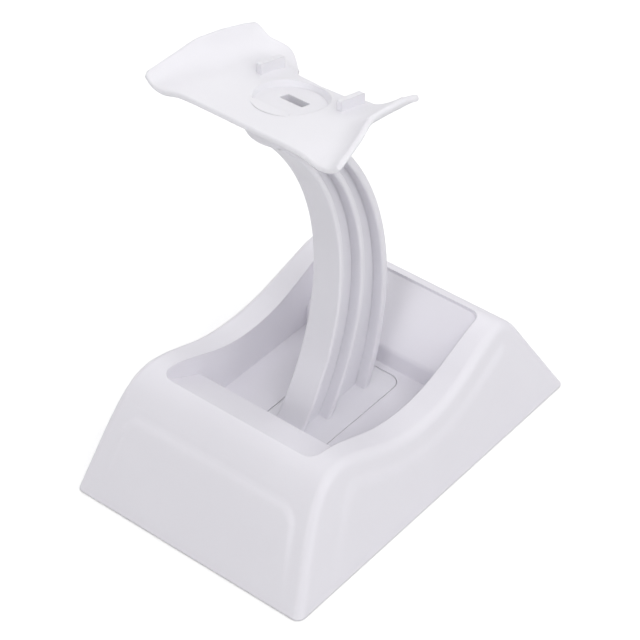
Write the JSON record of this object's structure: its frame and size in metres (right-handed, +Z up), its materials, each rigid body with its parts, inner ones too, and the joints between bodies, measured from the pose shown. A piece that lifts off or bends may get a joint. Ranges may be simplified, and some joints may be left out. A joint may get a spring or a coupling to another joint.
{
  "type": "drone display stand",
  "caption": "Desk stand for a small folding drone: a drafted base with a sunk basin, a ribbed curved arm and a saddle cradle with a slot and raised lips.",
  "frame": {"origin": "middle of the footprint on the table, under the base", "axes": "+X to the right seen from the front, +Y towards the back, +Z up"},
  "size_m": [0.1, 0.1514, 0.164],
  "materials": {
    "base_plastic": "satin white moulding",
    "arm_plastic": "satin white moulding",
    "cradle_plastic": "satin white moulding",
    "screw_steel": "zinc plated",
    "foot_rubber": "matt"
  },
  "bodies": {
    "root": {"base_shell": "base_plastic", "arm": "arm_plastic", "cradle": "cradle_plastic", "arm_screw_1": "screw_steel", "arm_screw_2": "screw_steel", "arm_screw_3": "screw_steel", "arm_screw_4": "screw_steel", "rubber_foot_1": "foot_rubber", "rubber_foot_2": "foot_rubber", "rubber_foot_3": "foot_rubber", "rubber_foot_4": "foot_rubber"}
  },
  "joints": []
}
